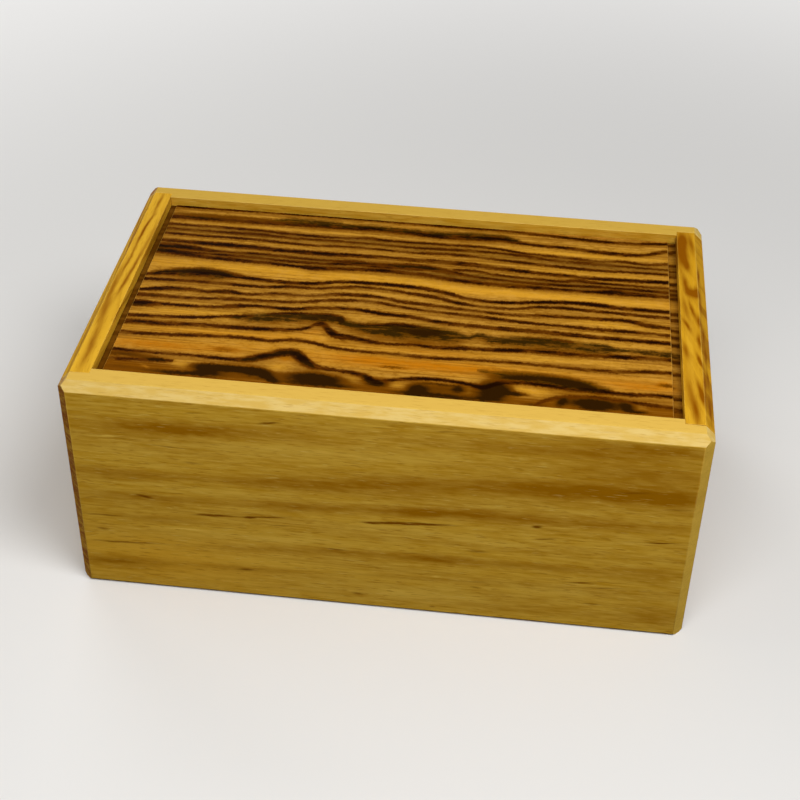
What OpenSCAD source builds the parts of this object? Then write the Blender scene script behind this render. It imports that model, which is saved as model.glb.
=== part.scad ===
// Puzzle box in solid wood: a rabbeted case, a lid that draws out together with the
// right-hand end board, and a rolling-ball lock hidden between two floors.
// Millimetres. X runs left to right, Y front to back, Z up; the origin is the middle of the base.

/* [Case] */
// Length of the case, left to right
case_l = 138; // [120:1:180]
// Depth of the case, front to back
case_d = 85; // [76:1:120]
// Height of the case
case_h = 57; // [48:1:80]
// Thickness of the four outer boards
wall = 6.4; // [5.6:0.1:9]
// Chamfer along the outer top and upright edges
edge_chamfer = 2.1; // [1:0.1:3]
// Easing of the outer bottom edges
base_ease = 0.6; // [0.3:0.1:1.2]
// Depth of the end rabbets that take the side boards, and of the grooves that take the lid
rabbet = 1.7; // [1:0.1:2.6]

/* [Lid] */
// Drop from the rim to the top of the lid
lid_recess = 2; // [1:0.1:5]
// Thickness of the lid
lid_t = 5; // [4.4:0.1:8]
// Height of the raised field above the tongues round it
field_step = 0.7; // [0.5:0.1:2.4]
// Reveal between the raised field and the left board
reveal_left = 1.4; // [0.6:0.1:4]
// Reveal between the raised field and the right board
reveal_right = 1.9; // [0.6:0.1:4]
// Reach of the lid's end tongues into the side boards
end_tongue = 2.8; // [1.5:0.1:3.6]

/* [Floors] */
// Height of the bottom panel above the table
bottom_lift = 3; // [2:0.1:5]
// Thickness of the bottom panel
bottom_t = 3.2; // [2.4:0.1:5]
// Reach of the bottom panel into its grooves
bottom_reach = 2.2; // [1:0.1:3.4]
// Thickness of the inner floor
floor_t = 2.4; // [1.6:0.1:4]
// Width of the cleats that carry the inner floor
cleat_w = 8; // [7:0.1:10]

/* [Ball lock] */
// Diameter of the steel ball
ball_d = 5; // [4:0.1:6]
// Throw of the ball to each side of the lock tongue
ball_throw = 15; // [11:0.5:18]
// Wood left under the ball in its track
track_floor = 1.5; // [1:0.1:3]
// Depth of the three dimples that hold the ball still
dimple_depth = 0.2; // [0.1:0.05:0.5]
// Wood left round the ends and sides of the track
track_wall = 4; // [2:0.1:5]
// Length of the lock tongue from the right board
tongue_l = 46; // [36:1:60]
// Width of the lock tongue
tongue_w = 12; // [10:0.5:14]
// Wood left in the tongue over the ball's channel
tongue_roof = 2.8; // [2:0.1:4]
// Length of the tongue beyond the middle of the ball's channel
tongue_nose = 10; // [7:0.5:16]
// Lead-in cut on the two corners of the tongue's end
tongue_lead = 1.5; // [0.5:0.1:3]

/* [Magnets and dowels] */
// Diameter of the disc magnets
magnet_d = 5; // [3:0.1:6]
// Thickness of the disc magnets
magnet_t = 2; // [1:0.1:3]
// Diameter of the dowels that hold the lock tongue
tongue_dowel_d = 3; // [2:0.1:3.4]
// Depth of the tongue's dowels in the right board
tongue_dowel_in_board = 4; // [2:0.1:4.6]
// Depth of the tongue's dowels in the tongue
tongue_dowel_depth = 8; // [5:0.5:12]
// Spacing of the tongue's dowels
tongue_dowel_pitch = 6; // [5:0.5:7]
// Diameter of the dowels that hold the lid's right tongue
lid_dowel_d = 2; // [1.5:0.1:2.2]
// Depth of the lid's dowels in the right board, past the bottom of its groove
lid_dowel_in_board = 2.2; // [1.5:0.1:2.4]
// Depth of the lid's dowels in the lid
lid_dowel_depth = 8; // [5:0.5:12]
// Number of lid dowels
lid_dowel_count = 3; // [2:1:5]
// Spacing of the lid's dowels
lid_dowel_pitch = 16; // [8:0.5:17]

/* [Fits] */
// Clearance on each side of the sliding lid and end board
slide_clear = 0.15; // [0.1:0.05:0.3]
// Clearance at the blind ends of grooves and bores
end_clear = 0.3; // [0.2:0.05:0.6]
// Clearance under and over the lock tongue and beside it
tongue_clear = 0.3; // [0.2:0.05:0.5]
// Clearance on each side of the ball
ball_clear = 0.15; // [0.1:0.05:0.3]
// Radial clearance of a glued dowel or magnet in its bore
bore_clear = 0.03; // [0.02:0.01:0.1]
// Height of the end board's foot above the table
foot_clear = 0.3; // [0.2:0.05:0.6]

/* [Hidden] */
// Fineness of round shapes, and overrun of cutting shapes
$fn = 48;
cut = 1;

// Colours of the woods and metals
pale_wood = "#c9a24a";
golden_wood = "#c68a1e";
striped_wood = "#7a4a1a";
inner_wood = "#cfae74";
hard_wood = "#8a5a33";
steel = "#b9bcc0";
nickel = "#cfcfca";

// Case: half sizes of the outside, the inside and the side boards' width
half_l = case_l / 2;
half_d = case_d / 2;
inner_x = half_l - wall;
inner_y = half_d - wall;
rabbet_y = inner_y + rabbet;
slide_y = rabbet_y - slide_clear;

// Lid: levels and ends
lid_top_z = case_h - lid_recess;
tongue_top_z = lid_top_z - field_step;
lid_under_z = lid_top_z - lid_t;
lid_end_x = inner_x + end_tongue;
lid_dowel_z = (lid_under_z + tongue_top_z) / 2;
field_y = inner_y - slide_clear;

// Bottom panel and ball track
bottom_top_z = bottom_lift + bottom_t;
ball_floor_z = bottom_top_z + track_floor;
ball_lift = ball_clear / 3;
ball_z = ball_floor_z + ball_d / 2;
channel_w = ball_d + 2 * ball_clear;
tongue_end_x = inner_x - tongue_l;
ball_x = tongue_end_x + tongue_nose;
track_half_x = channel_w / 2 + track_wall;
channel_end_y = ball_throw + ball_d / 2 + end_clear;
track_half_y = channel_end_y + track_wall;

// Lock tongue and inner floor
tongue_low_z = ball_z + tongue_clear;
channel_roof_z = ball_z + ball_d / 2 + tongue_clear;
tongue_high_z = channel_roof_z + tongue_roof;
tongue_mid_z = (tongue_low_z + tongue_high_z) / 2;
floor_low_z = tongue_high_z + tongue_clear;
floor_high_z = floor_low_z + floor_t;
track_high_z = floor_low_z;

// Cleats and magnets
cleat_end_x = inner_x - slide_clear;
magnet_y = inner_y - cleat_w / 2;
magnet_z = (bottom_top_z + floor_low_z) / 2;

// A box between two corners
module span(low, high) {
    translate(low) cube(high - low);
}

// A rectangle with its upper corners cut by the edge chamfer and its lower ones by a smaller cut
module cut_corner_outline(half_w, low, high, low_cut) {
    polygon([
        [-half_w + low_cut, low], [half_w - low_cut, low],
        [half_w, low + low_cut], [half_w, high - edge_chamfer],
        [half_w - edge_chamfer, high], [-half_w + edge_chamfer, high],
        [-half_w, high - edge_chamfer], [-half_w, low + low_cut]
    ]);
}

// The chamfered outside of the whole box, from which the four outer boards are cut
module envelope() {
    intersection() {
        linear_extrude(case_h)
            translate([0, -half_d])
                cut_corner_outline(half_l, 0, case_d, edge_chamfer);
        rotate([90, 0, 0])
            linear_extrude(case_d, center = true)
                cut_corner_outline(half_l, 0, case_h, base_ease);
        rotate([90, 0, 90])
            linear_extrude(case_l, center = true)
                cut_corner_outline(half_d, 0, case_h, base_ease);
    }
}

// Groove round the inside of the case that the lid's tongues run in
module lid_groove(reach_x, reach_y, low_clear) {
    span(
        [-reach_x, -reach_y, lid_under_z - low_clear],
        [reach_x, reach_y, tongue_top_z + low_clear]
    );
}

// Groove that the bottom panel is glued into
module bottom_groove() {
    span(
        [-inner_x - bottom_reach - end_clear, -inner_y - bottom_reach - end_clear, bottom_lift],
        [inner_x, inner_y + bottom_reach + end_clear, bottom_top_z]
    );
}

// A long board at the front (side -1) or back (side 1), rabbeted at both ends
module long_board(side) {
    difference() {
        intersection() {
            envelope();
            span(
                [-half_l, side < 0 ? -half_d : inner_y, 0],
                [half_l, side < 0 ? -inner_y : half_d, case_h]
            );
        }
        for (end = [-1, 1])
            span(
                [end < 0 ? -half_l - cut : inner_x, -rabbet_y, -cut],
                [end < 0 ? -inner_x : half_l + cut, rabbet_y, case_h + cut]
            );
        lid_groove(inner_x + cut, rabbet_y, slide_clear);
        bottom_groove();
    }
}

// A side board at the left (side -1) or right (side 1), between the two rabbets
module side_board(side, half_w, foot) {
    intersection() {
        envelope();
        span(
            [side < 0 ? -half_l : inner_x, -half_w, foot],
            [side < 0 ? -inner_x : half_l, half_w, case_h]
        );
    }
}

// Bore along X for a disc magnet, opening on the face at x and reaching towards dir
module magnet_bores(x, dir) {
    for (side = [-1, 1])
        translate([x, side * magnet_y, magnet_z])
            rotate([0, dir * 90, 0])
                translate([0, 0, -cut])
                    cylinder(d = magnet_d + 2 * bore_clear, h = magnet_t + cut);
}

// Disc magnets along X, flush with the face at x and reaching towards dir
module magnets(x, dir) {
    for (side = [-1, 1])
        translate([x, side * magnet_y, magnet_z])
            rotate([0, dir * 90, 0])
                cylinder(d = magnet_d, h = magnet_t);
}

// A row of round bars along X, spaced along Y: dowels, or the bores for them
module dowel_row(count, pitch, z, x_low, x_high, d) {
    for (i = [0 : count - 1])
        translate([x_low, (i - (count - 1) / 2) * pitch, z])
            rotate([0, 90, 0])
                cylinder(d = d, h = x_high - x_low);
}

// Dowels between the lock tongue and the right board, or their bores
module tongue_dowel_row(grow, extra) {
    dowel_row(
        2, tongue_dowel_pitch, tongue_mid_z,
        inner_x - tongue_dowel_depth - extra, inner_x + tongue_dowel_in_board + extra,
        tongue_dowel_d + 2 * grow
    );
}

// Dowels between the lid's right tongue and the right board, or their bores
module lid_dowel_row(grow, extra) {
    dowel_row(
        lid_dowel_count, lid_dowel_pitch, lid_dowel_z,
        lid_end_x - lid_dowel_depth - extra, lid_end_x + lid_dowel_in_board + extra,
        lid_dowel_d + 2 * grow
    );
}

module front_panel() {
    color(pale_wood) long_board(-1);
}

module back_panel() {
    color(pale_wood) long_board(1);
}

// Left end of the case, grooved for the lid's left tongue and the bottom panel
module left_panel() {
    color(golden_wood)
        difference() {
            side_board(-1, rabbet_y, 0);
            lid_groove(lid_end_x + end_clear, rabbet_y + cut, slide_clear);
            bottom_groove();
        }
}

// Bottom of the case, held in grooves on three sides and open to the right board
module bottom_panel() {
    color(inner_wood)
        span(
            [-inner_x - bottom_reach, -inner_y - bottom_reach, bottom_lift],
            [cleat_end_x, inner_y + bottom_reach, bottom_top_z]
        );
}

// A strip along the front (side -1) or back (side 1) that carries the inner floor
module long_cleat(side) {
    difference() {
        span(
            [-inner_x, side < 0 ? -inner_y : inner_y - cleat_w, bottom_top_z],
            [cleat_end_x, side < 0 ? -inner_y + cleat_w : inner_y, floor_low_z]
        );
        magnet_bores(cleat_end_x, -1);
    }
}

module front_floor_cleat() {
    color(inner_wood) long_cleat(-1);
}

module rear_floor_cleat() {
    color(inner_wood) long_cleat(1);
}

module left_floor_cleat() {
    color(inner_wood)
        span(
            [-inner_x, -inner_y + cleat_w, bottom_top_z],
            [-inner_x + cleat_w, inner_y - cleat_w, floor_low_z]
        );
}

// Floor of the compartment, over the lock
module inner_floor() {
    color(inner_wood)
        span([-inner_x, -inner_y, floor_low_z], [cleat_end_x, inner_y, floor_high_z]);
}

// Block on the bottom panel with the ball's cross channel, a dimple at each end and in the
// middle of it, and the slot that guides the tongue
module ball_track() {
    color(hard_wood)
        difference() {
            span(
                [ball_x - track_half_x, -track_half_y, bottom_top_z],
                [ball_x + track_half_x, track_half_y, track_high_z]
            );
            span(
                [ball_x - channel_w / 2, -channel_end_y, ball_floor_z],
                [ball_x + channel_w / 2, channel_end_y, track_high_z + cut]
            );
            span(
                [ball_x - track_half_x - cut, -tongue_w / 2 - tongue_clear, ball_z],
                [ball_x + track_half_x + cut, tongue_w / 2 + tongue_clear, track_high_z + cut]
            );
            for (stop = [-1, 0, 1])
                translate([ball_x, stop * ball_throw, ball_z - dimple_depth]) sphere(d = ball_d);
        }
}

module case_magnets() {
    color(nickel) magnets(cleat_end_x, -1);
}

// Ball at the front end of its track, where the tongue is free to leave
module lock_ball() {
    color(steel) translate([ball_x, -ball_throw, ball_z + ball_lift]) sphere(d = ball_d);
}

// Right end of the box, which draws out with the lid
module right_panel() {
    color(golden_wood)
        difference() {
            side_board(1, slide_y, foot_clear);
            lid_groove(lid_end_x, slide_y + cut, 0);
            magnet_bores(inner_x, 1);
            tongue_dowel_row(bore_clear, end_clear);
            lid_dowel_row(bore_clear, end_clear);
        }
}

// Lid with a raised field and a thinner tongue on all four sides
module lid_panel() {
    color(striped_wood)
        difference() {
            union() {
                span([-lid_end_x, -slide_y, lid_under_z], [lid_end_x, slide_y, tongue_top_z]);
                span(
                    [-inner_x + reveal_left, -field_y, lid_under_z],
                    [inner_x - reveal_right, field_y, lid_top_z]
                );
            }
            lid_dowel_row(bore_clear, end_clear);
        }
}

// Tongue under the inner floor, with the channel that the ball drops across to lock it
module lock_tongue() {
    color(hard_wood)
        difference() {
            translate([0, 0, tongue_low_z])
                linear_extrude(tongue_high_z - tongue_low_z)
                    polygon([
                        [inner_x, -tongue_w / 2], [inner_x, tongue_w / 2],
                        [tongue_end_x + tongue_lead, tongue_w / 2],
                        [tongue_end_x, tongue_w / 2 - tongue_lead],
                        [tongue_end_x, -tongue_w / 2 + tongue_lead],
                        [tongue_end_x + tongue_lead, -tongue_w / 2]
                    ]);
            span(
                [ball_x - channel_w / 2, -tongue_w, tongue_low_z - cut],
                [ball_x + channel_w / 2, tongue_w, channel_roof_z]
            );
            tongue_dowel_row(bore_clear, end_clear);
        }
}

module tongue_dowels() {
    color(inner_wood) tongue_dowel_row(0, 0);
}

module lid_dowels() {
    color(inner_wood) lid_dowel_row(0, 0);
}

module lid_magnets() {
    color(nickel) magnets(inner_x, 1);
}

front_panel();
back_panel();
left_panel();
bottom_panel();
front_floor_cleat();
rear_floor_cleat();
left_floor_cleat();
inner_floor();
ball_track();
case_magnets();
lock_ball();
right_panel();
lid_panel();
lid_dowels();
lock_tongue();
tongue_dowels();
lid_magnets();
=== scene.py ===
"""Looks of a wooden puzzle box with a striped sliding lid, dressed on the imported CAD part."""

import math

import bmesh
import bpy
from mathutils import Matrix, Vector


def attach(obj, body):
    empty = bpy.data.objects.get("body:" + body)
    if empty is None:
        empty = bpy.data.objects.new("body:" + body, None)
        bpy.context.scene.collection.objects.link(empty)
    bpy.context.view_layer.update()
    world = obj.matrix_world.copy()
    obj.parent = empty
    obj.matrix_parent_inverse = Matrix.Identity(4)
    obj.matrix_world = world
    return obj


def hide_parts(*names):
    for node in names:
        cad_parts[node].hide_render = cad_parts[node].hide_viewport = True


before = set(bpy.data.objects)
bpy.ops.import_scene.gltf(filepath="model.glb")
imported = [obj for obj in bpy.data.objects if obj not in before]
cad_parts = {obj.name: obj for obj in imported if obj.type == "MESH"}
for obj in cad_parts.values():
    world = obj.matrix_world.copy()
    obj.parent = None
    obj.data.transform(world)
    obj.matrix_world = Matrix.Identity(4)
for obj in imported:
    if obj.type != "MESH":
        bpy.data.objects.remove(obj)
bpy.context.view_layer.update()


# Front and back boards.
# Two long boards of a pale honey-coloured hardwood, a quarter of an inch thick, with the grain along
# the box. They are rabbeted for the end boards, bevelled along the outer edges, sanded and oiled.

mm = 0.001
board_ease = 0.14 * mm
shortest_arris = 2.5 * mm
# The bevel tone is a painted sheen for the top bevels, paler and whiter than the wood.
honey_bevel_sheen = (0.78, 0.58, 0.21, 1)
honey_pale = (0.84, 0.55, 0.085, 1)
honey = (0.64, 0.345, 0.018, 1)
honey_brown = (0.36, 0.145, 0.0015, 1)
honey_streak = (0.20, 0.064, 0.001, 1)
# The cut-end tone is partly painted shade, dark enough for the left bevel turned away from the lamps.
honey_end_and_shade = (0.22, 0.030, 0.0003, 1)
honey_amber = (0.80, 0.36, 0.003, 1)
honey_rubbed_and_highlit = (0.86, 0.66, 0.17, 1)

# Marks on the front face: middle across and up, half length, half width, rise per length, strength.
# Broad brown bands of late wood.
front_bands = [
    (-46, 47.3, 20, 2.1, 0.02, 0.7), (-40, 48.2, 9, 1.7, 0, 0.25), (-20, 49, 9, 1.6, 0, 0.25),
    (-56, 33.4, 16, 1.4, 0.03, 0.5), (-20, 35.2, 15, 2, 0.04, 0.6), (4, 37.2, 16, 2.3, 0.05, 0.6),
    (36, 39.8, 18, 2.2, 0.03, 0.75), (60, 40.4, 12, 2.2, 0.03, 0.75), (-50, 27.4, 16, 1.3, 0.02, 0.45),
    (-17, 28.6, 12, 1.3, 0.04, 0.65), (8, 30.2, 10, 1.3, 0.05, 0.75), (24, 31, 12, 1.6, 0.02, 0.6),
    (50, 31.4, 18, 1.4, 0.03, 0.45), (-49, 21.2, 11, 1.3, 0.02, 0.4), (-26, 14.8, 16, 0.9, 0.05, 0.35),
    (-8, 16.3, 10, 0.9, 0.02, 0.45), (11, 16.7, 9, 1.3, 0.02, 0.75), (34, 17.4, 16, 1.3, 0.02, 0.45),
    (60, 18.8, 10, 1.5, 0.04, 0.4), (-60, 6.8, 11, 2, 0.03, 0.65), (-30, 8.3, 18, 1, 0.02, 0.4),
    (10, 10.4, 16, 0.6, 0.02, 0.3), (57, 53, 12, 1.3, 0, 0.55), (38, 50.6, 22, 1.4, 0.03, 0.4),
    (58, 46.5, 14, 3, 0, 0.25), (62, 6, 8, 3, 0, 0.3), (30, 3.4, 16, 0.8, 0, 0.25),
    (52, 46, 26, 9, 0, 0.3),
]

# Short dark streaks, where single pores and resin lines are cut open.
front_streaks = [
    (-36.5, 23.8, 4.6, 0.34, 0.05, 1.2), (-28.6, 24.2, 1.3, 0.36, 0.05, 1.1),
    (-24, 24.8, 4.2, 0.24, 0.11, 0.9), (7, 26.7, 8.5, 0.38, 0.07, 1.5), (-1.5, 25.8, 1.6, 0.3, 0, 0.8),
    (34.3, 29.2, 1.1, 0.42, 0.1, 1.3), (61, 27.7, 3.6, 0.26, 0.1, 0.9),
    (36.5, 25.9, 3, 0.32, 0.15, 0.7), (-52, 27.6, 1.9, 0.42, -0.15, 1),
    (-62.5, 16.7, 1.6, 0.36, -0.1, 0.8), (-23.5, 51.4, 2.3, 0.34, 0.14, 0.9),
    (-39.5, 52.4, 2.4, 0.24, 0.16, 0.5), (-40.5, 38.5, 2.2, 0.34, -0.05, 0.6),
    (45, 13.8, 3.4, 0.26, 0.1, 0.9), (50, 12.8, 4.5, 0.26, 0.09, 0.7), (-57, 13.2, 8, 0.34, 0.05, 0.8),
    (-30, 8.1, 2.2, 0.42, 0.06, 0.7), (-9.5, 17, 2.6, 0.3, 0, 0.8), (22, 20.4, 2.6, 0.36, 0.05, 0.7),
    (22, 9.4, 1.6, 0.3, 0, 0.5), (48, 7.6, 2.2, 0.3, 0, 0.6), (-22, 22.6, 3.2, 0.26, 0.1, 0.5),
    (-62, 20.9, 5.5, 0.26, 0.03, 0.7), (-45, 42.5, 6, 0.22, -0.02, 0.6),
    (-4.6, 3.9, 1.5, 0.5, -0.1, 0.6), (12.5, 2, 0.8, 0.36, 0, 0.6), (13.5, 53.2, 2.2, 0.26, 0.1, 0.5),
    (47, 52.5, 2, 0.3, 0.2, 0.5), (22, 11.1, 3.2, 0.34, 0.05, 0.5), (54, 41.2, 3.6, 0.42, 0.1, 0.7),
    (64, 37.6, 4, 0.34, 0.05, 0.5),
]

# Pale stretches of early wood, and short bright flecks where the fibre turns.
front_pales = [
    (-40, 10, 34, 9, 0, 0.3), (-20, 44.4, 20, 1.6, 0.02, 0.4), (-54, 40.5, 14, 1.6, 0, 0.2),
    (-36, 31, 22, 0.8, 0, 0.25), (5, 24.4, 18, 1.6, 0.02, 0.35), (25, 23.2, 9, 0.7, 0, 0.4),
    (-25, 18.5, 22, 1, 0.03, 0.35), (10, 5.4, 16, 2.2, 0.02, 0.45), (40, 10.2, 16, 1.5, 0.02, 0.3),
    (34, 34, 22, 0.8, 0.03, 0.2), (8, 45.6, 12, 1.4, 0, 0.2), (-58.5, 44.1, 3.6, 0.2, 0.1, 1),
    (-43, 18.9, 4.2, 0.22, 0.02, 0.9), (-33.5, 20.1, 1.4, 0.24, 0, 0.6), (34.5, 47, 0.9, 0.42, 0, 0.6),
    (28, 45, 0.8, 0.42, 0, 0.5), (46.5, 37.6, 1.5, 0.26, 0, 0.6), (40, 29.5, 3.2, 0.22, 0.05, 0.7),
    (13, 11.6, 0.8, 0.36, 0, 0.6), (56, 26.9, 6.5, 0.2, 0.1, 0.6), (47, 24.7, 4.5, 0.22, 0.1, 0.45),
    (-38.5, 49.5, 0.9, 0.3, 0, 0.5), (-48, 31.3, 0.9, 0.26, 0, 0.5), (-2, 31.8, 1.6, 0.26, 0, 0.5),
    (20.5, 38.4, 0.9, 0.26, 0, 0.45), (33, 39.2, 0.9, 0.26, 0, 0.45), (25, 9.4, 1.3, 0.3, 0, 0.45),
]

# A warmer stretch where the board was cut nearer to the heart of the tree.
front_ambers = [(-50, 9.0, 26, 8.0, 0.00, 0.38)]


def eased(node_name, name, ease):
    """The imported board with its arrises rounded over, as a few strokes of sandpaper leave them."""
    board = bmesh.new()
    board.from_mesh(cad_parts[node_name].data)
    bmesh.ops.remove_doubles(board, verts=board.verts, dist=0.001 * mm)
    bmesh.ops.dissolve_limit(board, angle_limit=math.radians(0.5), verts=board.verts, edges=board.edges)
    arris = board.faces.layers.float.new("arris")
    sharp = []
    for edge in board.edges:
        if edge.is_manifold and edge.is_convex and edge.calc_length() > shortest_arris:
            if edge.calc_face_angle() > math.radians(25):
                sharp.append(edge)
    rounded = bmesh.ops.bevel(
        board,
        geom=sharp,
        offset=ease,
        offset_type="OFFSET",
        segments=3,
        profile=0.5,
        affect="EDGES",
        clamp_overlap=True,
    )
    for face in rounded["faces"]:
        face[arris] = 1.0
    for face in board.faces:
        face.smooth = True
    for edge in board.edges:
        kinds = {face[arris] for face in edge.link_faces}
        edge.smooth = len(kinds) == 1 and edge.calc_face_angle(0.0) < math.radians(35)
    mesh = bpy.data.meshes.new(name)
    board.to_mesh(mesh)
    board.free()
    piece = bpy.data.objects.new(name, mesh)
    bpy.context.scene.collection.objects.link(piece)
    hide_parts(node_name)
    return piece


def feed(tree, socket, value):
    """A socket linked to another one, or set to a plain value."""
    if isinstance(value, bpy.types.NodeSocket):
        tree.links.new(value, socket)
    else:
        socket.default_value = value


def add(tree, kind, inputs=None, **settings):
    """A shader node with its settings made and its inputs fed."""
    node = tree.nodes.new("ShaderNode" + kind)
    for label, value in settings.items():
        setattr(node, label, value)
    for label, value in (inputs or {}).items():
        feed(tree, node.inputs[label], value)
    return node


def calc(tree, operation, *values):
    """One step of arithmetic on mask values."""
    node = add(tree, "Math", operation=operation)
    for socket, value in zip(node.inputs, values):
        feed(tree, socket, value)
    return node.outputs[0]


def times(tree, value, factor):
    """Two mask values multiplied."""
    return calc(tree, "MULTIPLY", value, factor)


def scaled(tree, value, factor, more):
    """A mask value times a factor, with something added."""
    return calc(tree, "MULTIPLY_ADD", value, factor, more)


def fade(tree, value, start, end):
    """0 before start and 1 after end, with a soft step between them."""
    inputs = {"Value": value, "From Min": start, "From Max": end}
    return add(tree, "MapRange", inputs, interpolation_type="SMOOTHSTEP").outputs[0]


def stain(tree, amount, under, over, mode="MIX"):
    """One colour laid over another by a mask."""
    node = add(tree, "Mix", data_type="RGBA", blend_type=mode)
    for index, value in zip((0, 6, 7), (amount, under, over)):
        feed(tree, node.inputs[index], value)
    return node.outputs[2]


def stretched(tree, place, stretch):
    """A place scaled along each axis."""
    node = add(tree, "VectorMath", operation="MULTIPLY")
    feed(tree, node.inputs[0], place)
    feed(tree, node.inputs[1], stretch)
    return node.outputs[0]


def grain_noise(tree, place, stretch, detail, roughness=0.55):
    """Noise drawn out along the grain."""
    inputs = {"Vector": stretched(tree, place, stretch), "Scale": 1.0}
    inputs.update({"Detail": detail, "Roughness": roughness})
    return add(tree, "TexNoise", inputs).outputs["Fac"]


def effect(name, inputs, outputs):
    """An empty node group with named sockets, with its inner ends."""
    tree = bpy.data.node_groups.new(name, "ShaderNodeTree")
    for label, kind, value in inputs:
        socket = tree.interface.new_socket(label, in_out="INPUT", socket_type="NodeSocket" + kind)
        socket.default_value = value
    for label, kind in outputs:
        tree.interface.new_socket(label, in_out="OUTPUT", socket_type="NodeSocket" + kind)
    start = tree.nodes.new("NodeGroupInput").outputs
    end = tree.nodes.new("NodeGroupOutput").inputs
    return tree, start, end


def use(tree, group, inputs):
    """A node group placed in a material with its own values."""
    node = tree.nodes.new("ShaderNodeGroup")
    node.node_tree = group
    for label, value in inputs.items():
        feed(tree, node.inputs[label], value)
    return node.outputs


# Fibre, pores and flecks of any sawn board. Its place is in millimetres, with the grain along X.
fibre, at, out = effect(
    "Wood fibre",
    [("Place", "Vector", (0, 0, 0)), ("Board", "Float", 0.0)],
    [("Broad", "Float"), ("Fine", "Float"), ("Pore", "Float"), ("Fleck", "Float"), ("Height", "Float")],
)
shift = add(fibre, "VectorMath", operation="SCALE")
shift.inputs[0].default_value = (71.3, 37.9, 53.1)
feed(fibre, shift.inputs["Scale"], at["Board"])
moved = add(fibre, "VectorMath", operation="ADD")
feed(fibre, moved.inputs[0], at["Place"])
feed(fibre, moved.inputs[1], shift.outputs[0])
here = moved.outputs[0]
broad = grain_noise(fibre, here, (0.018, 0.30, 0.30), 3.0)
fine = grain_noise(fibre, here, (0.110, 1.50, 1.50), 4.0, 0.6)
pore = fade(fibre, grain_noise(fibre, here, (0.30, 3.6, 3.6), 1.0), 0.58, 0.74)
flipped = stretched(fibre, here, (1, -1, 1))
fleck = fade(fibre, grain_noise(fibre, flipped, (0.26, 2.9, 2.9), 2.0), 0.62, 0.76)
hair = grain_noise(fibre, here, (0.35, 7.0, 7.0), 2.0)
ridge = scaled(fibre, hair, 0.5, fine)
feed(fibre, out["Broad"], fade(fibre, broad, 0.33, 0.67))
feed(fibre, out["Fine"], fade(fibre, fine, 0.30, 0.70))
feed(fibre, out["Pore"], pore)
feed(fibre, out["Fleck"], fleck)
feed(fibre, out["Height"], scaled(fibre, pore, -0.8, ridge))

# One soft streak along the grain, with a rise.
streak, at, out = effect(
    "Soft streak",
    [
        ("Along", "Float", 0.0),
        ("Across", "Float", 0.0),
        ("Middle along", "Float", 0.0),
        ("Middle across", "Float", 0.0),
        ("Half length", "Float", 10.0),
        ("Half width", "Float", 1.0),
        ("Rise", "Float", 0.0),
    ],
    [("Amount", "Float")],
)
along = calc(streak, "SUBTRACT", at["Along"], at["Middle along"])
across = calc(streak, "SUBTRACT", at["Across"], at["Middle across"])
across = calc(streak, "SUBTRACT", across, times(streak, along, at["Rise"]))
long_part = calc(streak, "POWER", calc(streak, "DIVIDE", along, at["Half length"]), 2.0)
wide_part = calc(streak, "POWER", calc(streak, "DIVIDE", across, at["Half width"]), 2.0)
fall = times(streak, calc(streak, "ADD", long_part, wide_part), -1.0)
feed(streak, out["Amount"], calc(streak, "EXPONENT", fall))

# Arrises painted paler in an uneven line: partly rubbed by handling and sandpaper, partly a painted
# highlight where the rounded arris catches the light.
arris_wear_and_highlight, at, out = effect(
    "Rubbed and highlit arris",
    [
        ("Colour", "Color", (0.5, 0.5, 0.5, 1)),
        ("Rubbed", "Color", (0.8, 0.8, 0.8, 1)),
        ("Place", "Vector", (0, 0, 0)),
        ("Wear", "Float", 0.2),
    ],
    [("Colour", "Color")],
)
on_arris = add(arris_wear_and_highlight, "Attribute", attribute_name="arris").outputs["Fac"]
patchy = fade(arris_wear_and_highlight, grain_noise(arris_wear_and_highlight, at["Place"], (0.22, 0.22, 0.22), 4.0), 0.30, 0.62)
patchy = scaled(arris_wear_and_highlight, patchy, 0.8, 0.2)
worn_and_highlit = times(arris_wear_and_highlight, on_arris, times(arris_wear_and_highlight, patchy, at["Wear"]))
feed(arris_wear_and_highlight, out["Colour"], stain(arris_wear_and_highlight, worn_and_highlit, at["Colour"], at["Rubbed"]))

# Cut ends, where the open fibre drinks the oil, goes darker and redder and shows as dots.
cut_end, at, out = effect(
    "Cut end",
    [
        ("Colour", "Color", (0.5, 0.5, 0.5, 1)),
        ("End", "Color", (0.3, 0.2, 0.1, 1)),
        ("Place", "Vector", (0, 0, 0)),
        ("Facing", "Float", 0.0),
    ],
    [("Colour", "Color")],
)
shown = fade(cut_end, at["Facing"], 0.30, 0.80)
rings = fade(cut_end, grain_noise(cut_end, at["Place"], (0.05, 0.35, 1.0), 3.0, 0.65), 0.38, 0.62)
dots = fade(cut_end, grain_noise(cut_end, at["Place"], (0.15, 3.2, 3.2), 2.0, 0.6), 0.34, 0.68)
closed = scaled(cut_end, rings, 0.65, times(cut_end, dots, 0.35))
speckled = stain(cut_end, closed, at["End"], stain(cut_end, 0.85, at["End"], at["Colour"]))
feed(cut_end, out["Colour"], stain(cut_end, shown, at["Colour"], speckled))


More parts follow.
